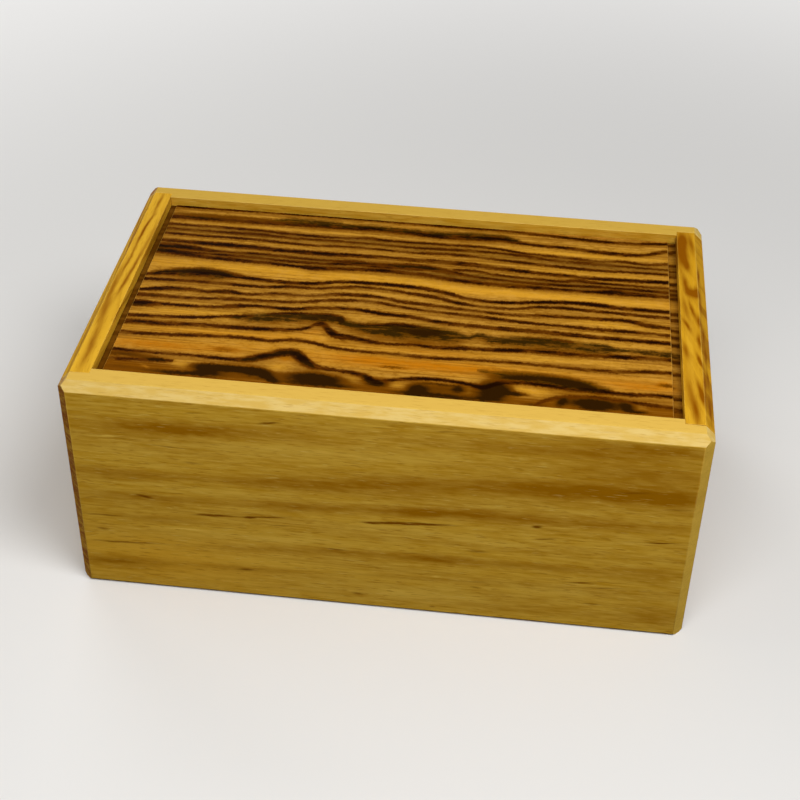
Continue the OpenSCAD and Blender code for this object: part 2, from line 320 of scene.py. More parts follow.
def wood_place(tree, grain):
    """A place in millimetres with the grain along X, the same unturned, how much of a cut end a face is,
    and its normal. The far end's bevel hardly counts as a cut end, so the darker cut-end colour stays on
    the near bevels: on the front board this is partly painted shade on the left bevel, turned away from the
    lamps."""
    source = add(tree, "TexCoord")
    sizes = add(tree, "VectorMath", operation="SCALE")
    feed(tree, sizes.inputs[0], source.outputs["Object"])
    sizes.inputs["Scale"].default_value = 1 / mm
    turned = add(tree, "SeparateXYZ", {"Vector": sizes.outputs[0]}).outputs
    normal = add(tree, "SeparateXYZ", {"Vector": source.outputs["Normal"]}).outputs
    order = {"X": ("X", "Y", "Z"), "Y": ("Y", "X", "Z"), "Z": ("Z", "X", "Y")}[grain]
    place = add(tree, "CombineXYZ", {axis: turned[own] for axis, own in zip("XYZ", order)}).outputs[0]
    lit_far_end = scaled(tree, normal[grain], 2.0, -1.2)
    facing = calc(tree, "MAXIMUM", times(tree, normal[grain], -1.0), lit_far_end)
    return place, turned, facing, normal


def oiled(name, shine):
    """A new material with a little shine, its node tree and its surface."""
    material = bpy.data.materials.new(name)
    material.use_nodes = True
    tree = material.node_tree
    surface = tree.nodes["Principled BSDF"]
    surface.inputs["Specular IOR Level"].default_value = shine
    return material, tree, surface


def relief(tree, surface, height, depth):
    """Fibre and pores that can be felt on the surface."""
    bump = add(tree, "Bump", {"Height": height, "Strength": 0.6, "Distance": depth})
    feed(tree, surface.inputs["Normal"], bump.outputs[0])


def weathered_and_highlit(tree, surface, colour, place, facing, end, rubbed_and_highlit, wear):
    """The surface's colour, with dark cut ends and arrises painted paler: partly rubbed wood, partly a
    painted highlight.
    """
    sawn = {"Colour": colour, "End": end, "Place": place, "Facing": facing}
    colour = use(tree, cut_end, sawn)["Colour"]
    handled = {"Colour": colour, "Rubbed": rubbed_and_highlit, "Place": place, "Wear": wear}
    feed(tree, surface.inputs["Base Color"], use(tree, arris_wear_and_highlight, handled)["Colour"])


def marked(tree, marks, along, across):
    """The strength of all the marks of one kind, added up. Along and across come out of one vector, so that
    the marks are worked out one after another."""
    both = add(tree, "CombineXYZ", {"X": along, "Y": across}).outputs[0]
    spread = add(tree, "SeparateXYZ", {"Vector": both}).outputs
    total = 0.0
    for x, z, length, width, rise, strength in marks:
        spot = {"Along": spread["X"], "Across": spread["Y"], "Middle along": x, "Middle across": z}
        spot.update({"Half length": length, "Half width": width, "Rise": rise})
        amount = use(tree, streak, spot)["Amount"]
        total = scaled(tree, amount, strength, total)
    return total


def honey_board(name, number, top_tone_with_painted_light, bands, streaks, pales):
    """Pale honey wood with brown bands, short dark streaks and pale flecks."""
    material, tree, surface = oiled(name, 0.005)
    place, axes, facing, normal = wood_place(tree, "X")
    figure = use(tree, fibre, {"Place": place, "Board": number})
    mottle = fade(tree, grain_noise(tree, place, (0.17, 0.75, 0.75), 3.0), 0.35, 0.65)
    colour = stain(tree, scaled(tree, figure["Broad"], 0.40, 0.55), honey_brown, honey)
    colour = stain(tree, times(tree, mottle, 0.22), colour, honey_pale)
    colour = stain(tree, times(tree, figure["Fine"], 0.36), colour, honey_pale)
    colour = stain(tree, scaled(tree, figure["Fine"], -0.16, 0.16), colour, honey_brown)
    ragged = grain_noise(tree, place, (0.25, 0.7, 0.7), 3.0, 0.65)
    across = calc(tree, "ADD", axes["Z"], scaled(tree, ragged, 1.6, -0.8))
    nearly = calc(tree, "ADD", axes["Z"], scaled(tree, ragged, 0.5, -0.25))
    colour = stain(tree, marked(tree, pales, axes["X"], nearly), colour, honey_pale)
    colour = stain(tree, marked(tree, front_ambers, axes["X"], across), colour, honey_amber)
    patchy = scaled(tree, mottle, -0.45, 1.5)
    brown = times(tree, marked(tree, bands, axes["X"], across), patchy)
    colour = stain(tree, brown, colour, honey_brown)
    dark = fade(tree, times(tree, marked(tree, streaks, axes["X"], nearly), patchy), 0.05, 1.3)
    colour = stain(tree, dark, colour, honey_streak)
    colour = stain(tree, times(tree, figure["Pore"], 0.36), colour, honey_brown)
    colour = stain(tree, times(tree, figure["Fleck"], 0.30), colour, honey_rubbed_and_highlit)
    # Faces turned to the right, towards the key lamp, are painted paler: painted light.
    lit_right_faces = times(tree, fade(tree, normal["X"], 0.4, 0.65), 0.55)
    colour = stain(tree, lit_right_faces, colour, honey_pale)
    # Upward faces take their own paler tone: partly paler edge grain, partly a painted sheen from the lamps
    # overhead.
    edge = times(tree, fade(tree, normal["Z"], 0.3, 0.65), 0.9)
    colour = stain(tree, edge, colour, top_tone_with_painted_light)
    # The top bevels are painted paler still, in mottled patches: a painted sheen of the lamp in front.
    bevel = times(tree, fade(tree, normal["Z"], 0.9, 0.75), edge)
    bevel = times(tree, bevel, scaled(tree, mottle, 0.6, 0.2))
    colour = stain(tree, bevel, colour, honey_bevel_sheen)
    colour = stain(tree, times(tree, figure["Pore"], 0.20), colour, honey_brown)
    weathered_and_highlit(tree, surface, colour, place, facing, honey_end_and_shade, honey_rubbed_and_highlit, 0.15)
    matt = scaled(tree, figure["Fine"], 0.14, 0.34)
    feed(tree, surface.inputs["Roughness"], scaled(tree, figure["Pore"], 0.2, matt))
    relief(tree, surface, figure["Height"], 0.05 * mm)
    return material


# The back board's darker top tone is painted shade, where the light falls off towards the back.
long_boards = (
    ("front_panel", 1.0, (0.68, 0.43, 0.080, 1), front_bands, front_streaks, front_pales),
    ("back_panel", 2.0, (0.60, 0.375, 0.060, 1), front_bands[::3], front_streaks[::4], front_pales[:10]),
)
for node_name, number, top_tone_with_painted_light, bands, streaks, pales in long_boards:
    board = eased(node_name, node_name.replace("panel", "board"), board_ease)
    wood = honey_board(node_name.replace("_panel", " honey wood"), number, top_tone_with_painted_light, bands, streaks, pales)
    board.data.materials.append(wood)
    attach(board, "case")


# End boards.
# Two short boards of a golden wood with brown flame lines, with the grain from front to back.
# The left one is glued into its rabbets, and the right one slides out with the lid.

gold = (0.55, 0.265, 0.005, 1)
gold_pale = (0.72, 0.395, 0.026, 1)
gold_brown = (0.25, 0.076, 0.0005, 1)
gold_end = (0.34, 0.13, 0.005, 1)
gold_rubbed_and_highlit = (0.82, 0.57, 0.11, 1)

# Brown flames on the top edges: middle back and across, half length, half width, rise, strength.
right_flames = [
    (33.5, 63.8, 4.2, 1.49, 0, 1), (26.5, 63.7, 5.5, 1.56, -0.03, 0.9),
    (22.5, 64.8, 2.6, 0.65, -0.1, 0.6), (32, 66.1, 4.5, 0.52, -0.1, 0.6),
    (15, 64, 3.5, 0.72, -0.12, 0.8), (11, 65.6, 2, 1.43, -0.25, 1), (11.8, 66.7, 2.2, 0.65, 0, 0.7),
    (19, 67.2, 3, 0.39, 0, 0.9), (5, 63.9, 5, 0.65, -0.12, 0.6), (4, 65.4, 4, 0.45, -0.15, 0.8),
    (6.5, 67.3, 3, 0.33, 0, 0.7), (-0.5, 66.8, 2.6, 0.52, -0.12, 0.9),
    (-2, 63.9, 2.6, 0.49, -0.3, 0.85), (-12, 63.5, 3.2, 0.65, -0.12, 0.7),
    (-8, 66.5, 2.6, 0.49, -0.05, 0.9), (-15.5, 66.5, 3, 0.49, -0.25, 1),
    (-26, 63.8, 6, 0.78, -0.08, 0.55), (-33, 65, 5, 0.78, -0.05, 0.75), (-25, 65.9, 3, 0.45, -0.2, 0.7),
    (-28.5, 66.6, 2.6, 0.65, -0.1, 1), (-23, 67.1, 3, 0.39, 0, 0.8), (-5, 67.7, 3, 0.36, 0, 0.8),
    (-12, 67.8, 3, 0.36, 0, 0.8), (-20, 68, 3, 0.33, 0, 0.7), (-31, 68.2, 4, 0.36, 0, 0.9),
]
left_flames = [
    (18, -67.2, 16, 0.28, 0, 0.8), (33, -64.8, 5, 0.42, 0, 0.7), (24.5, -64.9, 4, 0.32, 0.12, 0.6),
    (19, -65.3, 4.5, 0.36, 0.03, 0.8), (7, -65.6, 10, 0.32, 0.02, 0.7), (17, -63.1, 8, 0.5, 0.03, 0.5),
    (4, -63.7, 7, 0.4, 0.03, 0.75), (18, -62.4, 12, 0.25, 0, 0.5), (-5, -66.4, 9, 0.5, 0, 0.7),
    (-4, -64.3, 5, 0.4, 0.03, 0.7), (-14, -65.6, 6, 0.8, 0, 0.65), (-28, -65, 9, 0.8, 0, 0.7),
]


def golden_board(name, number, pale, slant, strength, marks):
    """Golden wood whose growth lines cross the board's edge at a slant and make flames on its face."""
    material, tree, surface = oiled(name, 0.005)
    place, axes, facing, normal = wood_place(tree, "Y")
    figure = use(tree, fibre, {"Place": place, "Board": number})
    wander = grain_noise(tree, place, (0.16, 0.30, 0.30), 3.0, 0.6)
    rise = calc(tree, "SUBTRACT", axes["Z"], 20.0)
    arch = times(tree, times(tree, rise, rise), 0.011)
    lean = scaled(tree, axes["Y"], slant, axes["X"])
    ring = scaled(tree, wander, 1.4, calc(tree, "ADD", lean, arch))
    height = times(tree, axes["Z"], 0.08)
    lines = add(tree, "CombineXYZ", {"X": axes["Y"], "Y": ring, "Z": height}).outputs[0]
    broad = fade(tree, grain_noise(tree, lines, (0.024, 0.55, 0.5), 2.0), 0.46, 0.66)
    narrow = fade(tree, grain_noise(tree, lines, (0.045, 1.40, 0.5), 2.0), 0.50, 0.70)
    colour = stain(tree, scaled(tree, figure["Broad"], 0.5, pale), gold, gold_pale)
    colour = stain(tree, times(tree, figure["Fine"], 0.30), colour, gold_pale)
    face = fade(tree, calc(tree, "ABSOLUTE", normal["X"]), 0.3, 0.7)
    colour = stain(tree, times(tree, broad, scaled(tree, face, 0.40, 0.20)), colour, gold_brown)
    colour = stain(tree, times(tree, narrow, scaled(tree, face, 0.28, 0.10)), colour, gold_brown)
    across = calc(tree, "ADD", axes["X"], scaled(tree, wander, 0.9, -0.45))
    flames = times(tree, marked(tree, marks, axes["Y"], across), strength)
    colour = stain(tree, flames, colour, gold_brown)
    colour = stain(tree, times(tree, figure["Pore"], 0.25), colour, gold_brown)
    weathered_and_highlit(tree, surface, colour, place, facing, gold_end, gold_rubbed_and_highlit, 0.25)
    matt = scaled(tree, figure["Fine"], 0.14, 0.38)
    feed(tree, surface.inputs["Roughness"], scaled(tree, figure["Pore"], 0.2, matt))
    relief(tree, surface, figure["Height"], 0.05 * mm)
    return material


end_boards = (
    ("left_panel", "case", 3.0, 0.75, 0.12, 1.15, left_flames),
    ("right_panel", "sliding_lid", 4.0, 0.25, 0.30, 1.25, right_flames),
)
for node_name, body, number, pale, slant, strength, marks in end_boards:
    board = eased(node_name, node_name.replace("panel", "board"), board_ease)
    wood = golden_board(node_name.replace("_panel", " golden wood"), number, pale, slant, strength, marks)
    board.data.materials.append(wood)
    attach(board, body)


# Bottom, floor and cleats.
# Thin plain boards of a pale close-grained wood inside the box: the bottom sits in grooves, and the floor
# lies on cleats glued to the walls, over the space that hides the lock.

inner_pale = (0.70, 0.52, 0.28, 1)
inner_tan = (0.52, 0.34, 0.15, 1)
inner_pore = (0.25, 0.14, 0.05, 1)
inner_end = (0.42, 0.26, 0.11, 1)
inner_rubbed_and_highlit = (0.80, 0.66, 0.42, 1)
inner_ease = 0.2 * mm


def inner_board(name, number, grain, tones):
    """Close-grained wood with soft streaks and fine pores."""
    light, dark, hole, end, rubbed_and_highlit = tones
    material, tree, surface = oiled(name, 0.3)
    place, _, facing, _ = wood_place(tree, grain)
    figure = use(tree, fibre, {"Place": place, "Board": number})
    colour = stain(tree, figure["Broad"], dark, light)
    colour = stain(tree, times(tree, figure["Fine"], 0.4), colour, light)
    colour = stain(tree, times(tree, figure["Pore"], 0.45), colour, hole)
    weathered_and_highlit(tree, surface, colour, place, facing, end, rubbed_and_highlit, 0.3)
    matt = scaled(tree, figure["Fine"], 0.12, 0.46)
    feed(tree, surface.inputs["Roughness"], scaled(tree, figure["Pore"], 0.15, matt))
    relief(tree, surface, figure["Height"], 0.04 * mm)
    return material


inner_tones = (inner_pale, inner_tan, inner_pore, inner_end, inner_rubbed_and_highlit)
inner_boards = (
    ("bottom_panel", "bottom_board", 5.0, "X"),
    ("inner_floor", "false_floor", 6.0, "X"),
    ("front_floor_cleat", "front_cleat_strip", 7.0, "X"),
    ("rear_floor_cleat", "rear_cleat_strip", 8.0, "X"),
    ("left_floor_cleat", "left_cleat_strip", 9.0, "Y"),
)
for node_name, piece_name, number, grain in inner_boards:
    piece = eased(node_name, piece_name, inner_ease)
    wood = inner_board(node_name.replace("_", " ") + " wood", number, grain, inner_tones)
    piece.data.materials.append(wood)
    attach(piece, "case")


# Lock: track, tongue and ball.
# A track and a tongue of dark close hardwood, each milled with a round channel, and a polished steel ball
# that rolls in the track and stands half in the tongue's channel when it locks.

lock_tones = (
    (0.20, 0.095, 0.040, 1),
    (0.095, 0.040, 0.016, 1),
    (0.025, 0.010, 0.004, 1),
    (0.060, 0.026, 0.010, 1),
    (0.30, 0.16, 0.075, 1),
)
lock_blocks = (
    ("ball_track", "case", 10.0, "Y"),
    ("lock_tongue", "sliding_lid", 11.0, "X"),
)
for node_name, body, number, grain in lock_blocks:
    piece = eased(node_name, node_name.replace("ball", "lock") + "_block", inner_ease)
    wood = inner_board(node_name.replace("_", " ") + " hardwood", number, grain, lock_tones)
    piece.data.materials.append(wood)
    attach(piece, body)


def polished(name, tone, dull, scratch_depth):
    """Bright metal with fine rolled-in scratches and dull handling marks."""
    material, tree, surface = oiled(name, 0.5)
    place = wood_place(tree, "X")[0]
    scratches = grain_noise(tree, place, (0.8, 9.0, 9.0), 4.0, 0.65)
    smudge = fade(tree, grain_noise(tree, place, (0.7, 0.7, 0.7), 3.0), 0.40, 0.70)
    surface.inputs["Metallic"].default_value = 1.0
    feed(tree, surface.inputs["Base Color"], stain(tree, smudge, tone, dull))
    shine = scaled(tree, smudge, 0.14, 0.10)
    feed(tree, surface.inputs["Roughness"], scaled(tree, scratches, 0.08, shine))
    relief(tree, surface, scratches, scratch_depth)
    return material


ball = bmesh.new()
ball.from_mesh(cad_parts["lock_ball"].data)
bmesh.ops.remove_doubles(ball, verts=ball.verts, dist=0.001 * mm)
for face in ball.faces:
    face.smooth = True
ball_mesh = bpy.data.meshes.new("lock_steel_ball")
ball.to_mesh(ball_mesh)
ball.free()
steel_ball = bpy.data.objects.new("lock_steel_ball", ball_mesh)
bpy.context.scene.collection.objects.link(steel_ball)
steel_bright = (0.62, 0.62, 0.63, 1)
steel_dull = (0.48, 0.47, 0.46, 1)
steel_ball.data.materials.append(polished("ball steel", steel_bright, steel_dull, 0.003 * mm))
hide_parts("lock_ball")
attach(steel_ball, "ball")


# Dowels and magnets.
# Beech dowels hold the lid and the lock tongue to the right board. Nickel-plated disc magnets, let into
# the right board and the cleats, hold the box shut.

dowel_tones = (
    (0.66, 0.44, 0.24, 1),
    (0.50, 0.30, 0.14, 1),
    (0.22, 0.11, 0.045, 1),
    (0.36, 0.20, 0.09, 1),
    (0.74, 0.54, 0.32, 1),
)
for node_name, number in (("lid_dowels", 12.0), ("tongue_dowels", 13.0)):
    piece = eased(node_name, node_name + "_beech", inner_ease)
    beech = inner_board(node_name.replace("_", " ") + " beech", number, "X", dowel_tones)
    piece.data.materials.append(beech)
    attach(piece, "sliding_lid")

nickel_bright = (0.66, 0.63, 0.58, 1)
nickel_dull = (0.50, 0.47, 0.43, 1)
for node_name, body in (("case_magnets", "case"), ("lid_magnets", "sliding_lid")):
    piece = eased(node_name, node_name + "_nickel", inner_ease)
    nickel = polished(node_name.replace("_", " ") + " nickel", nickel_bright, nickel_dull, 0.004 * mm)
    piece.data.materials.append(nickel)
    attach(piece, body)


# Lid.
# One flat-sawn board of a strongly striped wood, orange between nearly black growth lines. Its raised
# field stands over lower tongues, which run in the long boards' grooves. It is oiled to a low sheen.

lid_orange = (0.66, 0.315, 0.022, 1)
lid_tan = (0.46, 0.220, 0.024, 1)
lid_amber = (0.50, 0.165, 0.003, 1)
lid_pale = (0.66, 0.335, 0.050, 1)
lid_brown = (0.170, 0.052, 0.0005, 1)
lid_line = (0.092, 0.0225, 0.0002, 1)
lid_black = (0.010, 0.0022, 0.0001, 1)
lid_dark = (0.024, 0.0080, 0.0003, 1)
lid_smoke = (0.032, 0.0135, 0.0006, 1)
# The end tone also serves as the painted shade on the lid's ledges.
lid_end_and_ledge_shade = (0.10, 0.035, 0.002, 1)
lid_rubbed_and_highlit = (0.66, 0.36, 0.06, 1)
lid_ease = 0.22 * mm
lid_reach = 68.0
lid_breadth = 40.0
lid_top = 55.0

# Each growth line: depth of colour, then points from left to right: across, back, half width.
# A line that does not run the whole length of the board starts at its first point and stops at its last.
growth_lines = [
    (0.9, [
        (-68, 35.7, 0.5), (-55, 35.5, 0.55), (-40, 35.7, 0.5), (-15, 35.8, 0.45), (5, 35.5, 0.5),
        (20, 35.3, 0.45), (30, 34.6, 0.4), (50, 33.7, 0.45), (60, 34.7, 0.4), (68, 35.6, 0.4),
    ]),
    (0.95, [
        (-68, 30.3, 0.6), (-50, 30.35, 0.55), (-35, 30.6, 0.55), (-25, 31, 0.6), (-15, 31.3, 0.7),
        (-4, 31.2, 0.7), (5, 30.4, 0.7), (15, 30.9, 0.85), (21, 31.1, 0.8), (26, 30.1, 0.5),
        (35, 29.6, 0.5), (45, 28.8, 0.6), (51, 28.5, 0.5), (55, 29.1, 0.45), (60, 31.2, 0.6),
        (68, 33.5, 0.5),
    ]),
    (0.85, [
        (-68, 26.8, 0.35), (-40, 26.8, 0.35), (-27, 26.2, 0.4), (-15, 26.6, 0.35), (-12, 27, 0.5),
        (-8, 26.7, 0.35), (15, 27, 0.4), (20, 26.8, 0.35), (26, 25.7, 0.3), (35, 25.2, 0.4),
        (45, 24.8, 0.35), (49, 25.3, 0.35), (55, 24.9, 0.4), (60, 25.6, 0.4), (68, 26.2, 0.4),
    ]),
    (0.78, [
        (-68, 24.9, 0.35), (-45, 24.9, 0.35), (-38, 25.1, 0.45), (-30, 24.6, 0.35), (-15, 24.8, 0.3),
        (0, 24.5, 0.35), (15, 25, 0.35), (20, 24.9, 0.3), (28, 24.3, 0.5), (33, 23.6, 0.35),
        (47, 23.4, 0.5), (50, 23.2, 0.3), (68, 23.4, 0.3),
    ]),
    (0.82, [
        (-68, 22.8, 0.35), (-55, 22.5, 0.35), (-40, 22.6, 0.35), (-25, 22, 0.35), (-15, 22.6, 0.35),
        (0, 22.2, 0.3), (10, 22.6, 0.4), (20, 22, 0.35), (30, 21.3, 0.35), (45, 20.6, 0.4),
        (50, 20.9, 0.3), (68, 21, 0.3),
    ]),
    (1, [
        (-68, 19.6, 0.65), (-50, 19.3, 0.6), (-42, 19.2, 0.75), (-30, 18.8, 0.65), (-20, 18.6, 0.7),
        (-13, 19, 0.55), (0, 19.1, 0.55), (12, 19, 0.75), (20, 18.3, 0.65), (30, 17.5, 0.5),
        (42, 17.1, 0.5), (60, 17.7, 0.5), (68, 18, 0.5),
    ]),
    (0.9, [
        (-68, 16.9, 0.7), (-57, 17.1, 0.9), (-52, 16.7, 0.8), (-48, 16.2, 0.4), (-35, 16.4, 0.35),
        (-28, 16, 0.4), (-20, 15.9, 0.35), (-14, 16.1, 0.6), (-8, 15.6, 0.6), (0, 16.2, 0.9),
        (4, 16, 0.9), (9, 15, 0.8), (14, 14, 0.4), (22, 13.3, 0.35), (35, 13, 0.35), (45, 13.6, 0.35),
        (60, 13.4, 0.4), (68, 13.2, 0.4),
    ]),
    (0.82, [
        (10, 16, 0.35), (15, 16.2, 0.35), (20, 15.3, 0.35), (30, 14.8, 0.3), (36, 14.8, 0.35),
        (39, 15.5, 0.6), (43, 15.2, 0.35), (60, 15.2, 0.35), (68, 15.1, 0.35),
    ]),
    (0.8, [
        (-68, 15.6, 0.4), (-59, 15, 0.7), (-55, 14.7, 0.4), (-40, 14.8, 0.35), (-30, 14.3, 0.35),
        (-20, 14.4, 0.35), (-14, 15.2, 0.6), (-8, 14.9, 0.4), (3, 15, 0.4),
    ]),
    (1, [
        (-68, 15.2, 0.5), (-59, 14.5, 0.8), (-52, 13.6, 0.6), (-40, 13, 0.55), (-32, 12.7, 0.4),
        (-26, 12.3, 0.4), (-23, 12.2, 0.8), (-18, 12.5, 0.6), (-12, 13.2, 0.6), (-2, 13.3, 0.55),
        (3, 13, 0.6), (10, 11.9, 0.65), (19, 11.2, 0.6), (23, 10.7, 0.3), (28, 11.2, 0.6),
        (36, 11.1, 0.5), (44, 11.4, 0.45), (48, 11.8, 0.85), (53, 11.6, 0.6), (60, 11.6, 0.45),
        (68, 11.5, 0.45),
    ]),
    (1, [
        (-68, 3.8, 0.4), (-60, 4.4, 0.4), (-57, 5.3, 0.7), (-48, 6.2, 0.9), (-41, 6.1, 0.6),
        (-35, 5.6, 0.45), (-27, 5.3, 0.45), (-20, 5.9, 0.45), (-16, 7.2, 0.45), (-8, 7.6, 0.45),
        (0, 7.5, 0.5), (6, 6.8, 0.6), (10, 5.9, 0.5), (14, 4.5, 0.45), (24, 4.1, 0.4), (30, 5.2, 0.45),
        (40, 6.2, 0.5), (44, 6, 0.6), (50, 5.5, 0.5), (68, 5.7, 0.5),
    ]),
    (0.92, [
        (-68, 1.6, 0.4), (-60, 2.3, 0.4), (-45, 2.7, 0.4), (-32, 2.7, 0.35), (-26, 3.7, 0.5),
        (-21, 3.7, 0.35), (-15, 5, 0.45), (-10, 5.7, 0.45), (0, 4.9, 0.4), (7, 3.9, 0.5),
        (14, 2.1, 0.45), (24, 1.8, 0.35), (33, 3.6, 0.45), (45, 3.4, 0.4), (60, 3, 0.4), (68, 2.8, 0.4),
    ]),
    (0.92, [
        (-68, -3.6, 0.4), (-61, -2.3, 0.4), (-54, -1, 0.65), (-50, -0.8, 0.55), (-45, -1.2, 0.4),
        (-40, -0.5, 0.6), (-37, -1, 0.35), (-30, 0.1, 0.45), (-21, 0.7, 0.35), (-16, 1.9, 0.45),
        (-8, 2.3, 0.45), (0, 1.1, 0.45), (8, 0.4, 0.45), (16, -0.2, 0.35), (25, -0.6, 0.3),
        (34, 0, 0.45), (45, 0.5, 0.45), (51, 0.6, 0.5), (56, -0.7, 0.65), (60, -1.1, 0.4),
        (68, -1.8, 0.4),
    ]),
    (0.88, [
        (-68, -4.3, 0.4), (-55, -4.3, 0.5), (-48, -4.1, 0.4), (-40, -3.4, 0.4), (-26, -2.7, 0.4),
        (-15, -0.4, 0.4), (-7, 0.1, 0.4), (0, -1.1, 0.35), (10, -2, 0.35), (19, -2.6, 0.5),
        (25, -3.1, 0.35), (45, -3.7, 0.4), (55, -3.7, 0.45), (68, -4.2, 0.4),
    ]),
    (1, [
        (-68, -7.6, 0.9), (-60, -7.4, 0.9), (-56, -7.4, 0.5), (-42, -6.9, 0.45), (-38, -6, 0.6),
        (-34, -5.4, 0.45), (-24, -5.2, 0.45), (-19, -4, 0.45), (-10, -3.6, 0.5), (-4, -4.4, 0.45),
        (3, -4.8, 0.5), (9, -5.9, 0.5), (20, -6.4, 0.5), (30, -6.4, 0.6), (45, -6.8, 0.45),
        (60, -6.9, 0.45), (68, -7, 0.45),
    ]),
    (0.82, [
        (-68, -12.9, 0.4), (-55, -12.4, 0.4), (-45, -11.5, 0.35), (-38, -10.2, 0.4), (-33, -9.4, 0.3),
    ]),
    (1, [
        (-68, -15, 0.6), (-56, -15.1, 0.6), (-45, -14.4, 0.5), (-30, -14, 0.5), (-23, -13.3, 0.45),
        (-20, -12, 0.45), (-18.3, -10.5, 0.6), (-17.3, -10.2, 0.85), (-16.2, -11.2, 1.1),
        (-15, -12.8, 1.2), (-13.6, -14, 1), (-10, -14.6, 0.8), (-5, -15.6, 0.5), (0, -15.7, 0.3),
        (4, -15.2, 0.4), (8, -15.6, 0.4), (15, -15.1, 0.55), (24, -14.5, 0.5), (30, -13.9, 0.55),
        (40, -14.1, 0.5), (50, -13.5, 0.5), (68, -13.2, 0.5),
    ]),
    (0.82, [
        (-68, -19.6, 0.5), (-52, -19.1, 0.45), (-41, -18.2, 0.4), (-33, -17.9, 0.4), (-27, -18.2, 0.35),
        (-22.5, -17.1, 0.45), (-18, -17.6, 0.4), (-14, -18.8, 0.35), (0, -19.4, 0.4), (9, -19.6, 0.35),
        (18, -19, 0.35), (35, -19, 0.35), (47, -19.3, 0.45), (56, -18.1, 0.4), (68, -17.8, 0.4),
    ]),
    (0.95, [
        (-68, -25.8, 0.45), (-40, -26, 0.4), (-33, -25.9, 0.6), (-30.5, -25.4, 1), (-28, -24.4, 1.25),
        (-26, -23.2, 1.3), (-24, -22.3, 1.2), (-22, -22, 1.2), (-20.5, -22.9, 1.7), (-19, -24.2, 1.7),
        (-17.5, -25.5, 1.2), (-16, -26.2, 0.75), (-14.5, -26.6, 0.5), (-9, -27.1, 0.45),
        (-6, -27.8, 0.6), (-4, -28.8, 0.85), (-2.2, -30, 0.9), (0, -29.2, 0.5), (2, -28.4, 0.4),
        (5, -27.7, 0.45), (11, -27.2, 0.4), (17, -27.9, 0.45), (20.5, -28.6, 0.8), (23, -27, 0.9),
        (26, -26.1, 0.5), (34, -26, 0.5), (39, -26.5, 0.6), (44, -26.4, 0.6), (50, -27, 0.5),
        (57, -26.4, 0.45), (68, -27.2, 0.45),
    ]),
    (0.85, [
        (31.5, -33.4, 0.5), (34, -31.2, 0.5), (37, -29.9, 0.5), (41, -29.2, 0.45), (46, -29, 0.45),
        (53, -29.6, 0.45), (60, -30.3, 0.5), (68, -30.6, 0.5),
    ]),
    (0.8, [
        (-68, -29.1, 0.4), (-55, -29.2, 0.45), (-50, -28.8, 0.6), (-47, -28.5, 0.3),
    ]),
    (0.85, [
        (-30, -8.4, 0.35), (-25, -7.3, 0.45), (-20, -7, 0.45), (-15, -6.8, 0.5), (-13.4, -7.6, 0.5),
    ]),
    (0.85, [
        (-12.8, -9.4, 0.4), (-8, -9.4, 0.4), (-4, -8.9, 0.4), (-1, -8.1, 0.55), (2, -8.3, 0.5),
        (6, -8.8, 0.4), (10, -9.6, 0.4),
    ]),
    (0.7, [
        (28, -9.7, 0.35), (33, -9.2, 0.45), (39, -9.5, 0.35),
    ]),
]

# Smoky bands, drawn the same way.
smoky_bands = [
    (1, [
        (-38, -10.4, 0.4), (-31, -9.5, 1.1), (-26, -8.5, 1.3), (-20, -8, 1.3), (-15, -7.7, 1.1),
        (-12.5, -9, 0.8), (-9, -10, 1.1), (-5, -10.4, 1.6), (2, -10.3, 2.2), (8, -10.5, 2),
        (13, -10.8, 1.4), (16, -11, 0.5), (18, -9.9, 0.8), (21, -10.9, 0.8), (28, -10.5, 1.2),
        (35, -10.5, 1.6), (41, -10.8, 1.2), (46, -10.8, 1.2), (50, -11, 0.4), (56, -11, 0.6),
        (68, -11, 0.6),
    ]),
    (1, [
        (-60, 4.9, 0.3), (-57, 5.6, 0.7), (-52, 6.2, 1.1), (-48, 6.7, 1.7), (-44, 6.3, 1.2),
        (-40, 6, 0.3),
    ]),
    (0.45, [
        (-68, 31, 0.8), (-50, 31.3, 1), (-36, 31.4, 0.8), (-28, 31.8, 0.6),
    ]),
    (0.95, [
        (-36, 31.8, 0.5), (-30, 32.3, 1), (-24, 32.2, 1.1), (-18, 32, 0.8), (-8, 31.9, 0.8),
        (4, 31.4, 0.8), (14, 31.8, 1.1), (21, 31.9, 0.9), (25, 31, 0.3),
    ]),
    (0.85, [
        (19, -22.8, 0.3), (26, -23.6, 1), (32, -24, 1.5), (39, -24.7, 1.7), (44, -25.4, 1),
        (48, -26.4, 0.3),
    ]),
    (0.45, [
        (-68, 15.4, 1.6), (-40, 14.9, 1.5), (-10, 15, 1.6), (10, 14, 1.6), (30, 13.2, 1.6),
        (68, 13.4, 1.6),
    ]),
    (0.35, [
        (-68, 25, 1.6), (0, 24.8, 1.5), (30, 23.4, 1.4), (68, 23.6, 1.4),
    ]),
]

